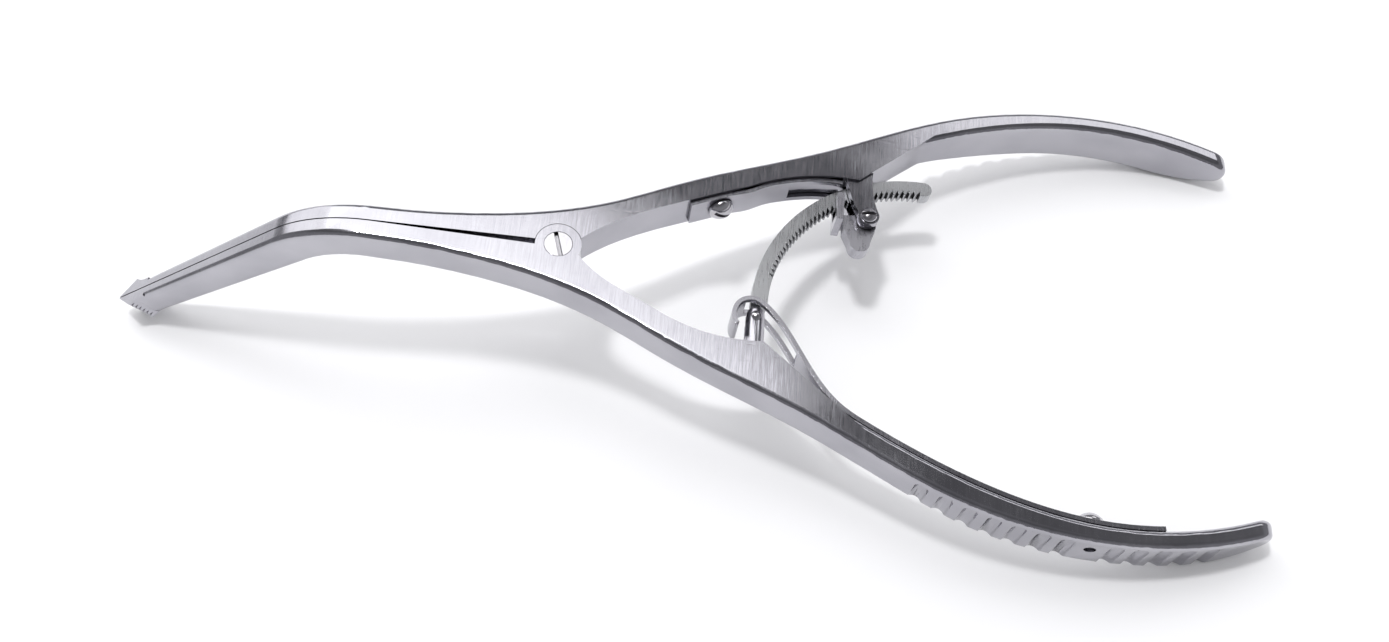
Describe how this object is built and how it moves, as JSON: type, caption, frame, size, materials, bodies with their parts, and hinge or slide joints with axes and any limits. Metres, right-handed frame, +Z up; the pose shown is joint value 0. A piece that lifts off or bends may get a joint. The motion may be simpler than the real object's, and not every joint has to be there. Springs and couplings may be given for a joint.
{
  "type": "bone spreader",
  "caption": "Hand-held bone spreader with bent jaws, bowed handles with leaf springs, a curved toothed ratchet bar and a sprung catch that holds it open.",
  "frame": {"origin": "centre of the footprint, on the surface the spreader lies on", "axes": "+X from the jaws to the handles, +Y from the lower arm to the upper arm, +Z up. The flat of the arms leans 10.25 degrees about Y, down to the handles, because the part rests on its jaw ends and handle ends"},
  "size_m": [0.214, 0.0876, 0.0357],
  "materials": {
    "arm_steel": "satin",
    "screw_steel": "polished",
    "post_steel": "satin",
    "bar_steel": "satin",
    "catch_steel": "satin",
    "spring_steel": "polished"
  },
  "bodies": {
    "lower_frame": {"lower_arm": "arm_steel", "ratchet_post": "post_steel", "ratchet_hinge_pin": "screw_steel", "lower_leaf_spring": "spring_steel", "lower_spring_screw": "screw_steel"},
    "upper_frame": {"upper_arm": "arm_steel", "pivot_screw": "screw_steel", "upper_leaf_spring": "spring_steel", "upper_spring_screw": "screw_steel", "catch_screw": "screw_steel"},
    "bar": {"ratchet_bar": "bar_steel"},
    "catch": {"catch_lever": "catch_steel"}
  },
  "joints": [
    {"name": "handle_squeeze", "type": "hinge", "parent": "lower_frame", "child": "upper_frame", "pos_m": [-0.01629, 0, 0.02578], "axis": [0.178, 0, 0.984], "range_deg": [-18, 0]},
    {"name": "ratchet_swing", "type": "hinge", "parent": "lower_frame", "child": "bar", "pos_m": [0.01884, -0.0082, 0.01943], "axis": [0.178, 0, 0.984], "range_deg": [-41, 0]},
    {"name": "catch_release", "type": "hinge", "parent": "upper_frame", "child": "catch", "pos_m": [0.03774, 0.0146, 0.01601], "axis": [0.178, 0, 0.984], "range_deg": [-9, 0], "stiffness_Nm_per_rad": 0.02, "springref_deg": 9.74}
  ],
  "couplings": [
    {"joint": "ratchet_swing", "follows": "handle_squeeze", "ratio": 2.26}
  ]
}
